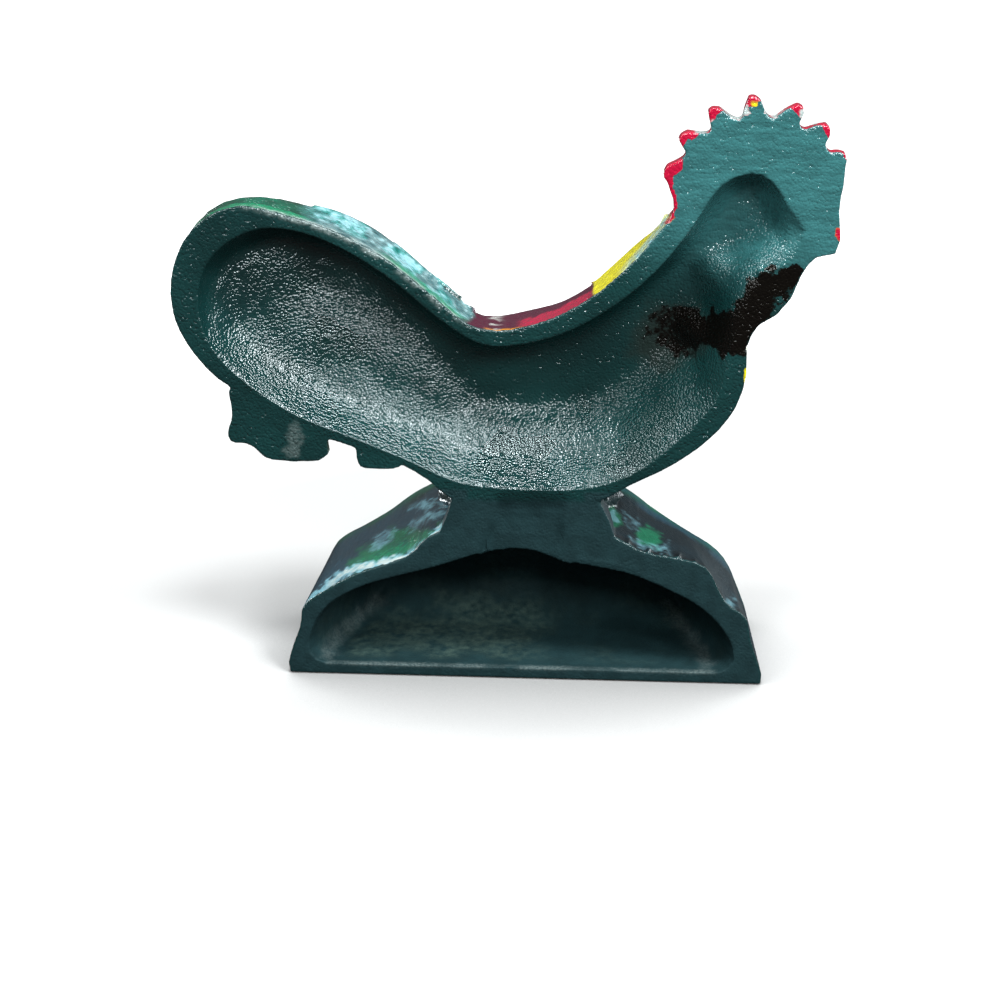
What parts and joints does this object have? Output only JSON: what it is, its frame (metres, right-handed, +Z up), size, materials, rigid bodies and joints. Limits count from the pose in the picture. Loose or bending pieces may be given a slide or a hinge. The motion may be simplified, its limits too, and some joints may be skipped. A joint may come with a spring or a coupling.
{
  "type": "doorstop",
  "caption": "Cast iron rooster doorstop: a hollow-backed painted relief of a cockerel standing on a hollow mound base.",
  "frame": {"origin": "centre of the base's flat underside, halfway between its back rim and its front", "axes": "+Z up; +X to the bird's head; the flat open back faces -Y and the painted relief faces +Y"},
  "size_m": [0.1883, 0.048, 0.1768],
  "materials": {
    "comb_paint": "gloss crimson enamel over sand-cast iron, worn on the tooth tips",
    "head_paint": "gloss red enamel over sand-cast iron, yellow beak, dark green back",
    "wattle_paint": "gloss crimson enamel over sand-cast iron, dark stained back",
    "eye_paint": "gloss black enamel bead",
    "neck_hackle_paint": "yellow enamel feathers, dark green back with a brown-black stain",
    "body_shell_paint": "magenta-crimson enamel feathers, dark green back",
    "wing_paint": "magenta-crimson enamel feathers",
    "tail_shell_paint": "green and turquoise enamel feathers, dark green back",
    "under_tail_feathers_paint": "dark green enamel",
    "thigh_feathers_paint": "dark green enamel",
    "left_leg_paint": "yellow-orange enamel, dark green back",
    "right_leg_paint": "yellow-orange enamel, dark green back",
    "left_foot_paint": "yellow-orange enamel",
    "right_foot_paint": "yellow-orange enamel",
    "leg_web_paint": "matt dark green paint",
    "base_mound_paint": "dark blue-green enamel, brushed green and pale blue on the ground, worn bright edge on the floor"
  },
  "bodies": {
    "root": {"comb": "comb_paint", "head": "head_paint", "wattle": "wattle_paint", "eye": "eye_paint", "neck_hackle": "neck_hackle_paint", "body_shell": "body_shell_paint", "wing": "wing_paint", "tail_shell": "tail_shell_paint", "under_tail_feathers": "under_tail_feathers_paint", "thigh_feathers": "thigh_feathers_paint", "left_leg": "left_leg_paint", "right_leg": "right_leg_paint", "left_foot": "left_foot_paint", "right_foot": "right_foot_paint", "leg_web": "leg_web_paint", "base_mound": "base_mound_paint"}
  },
  "joints": []
}
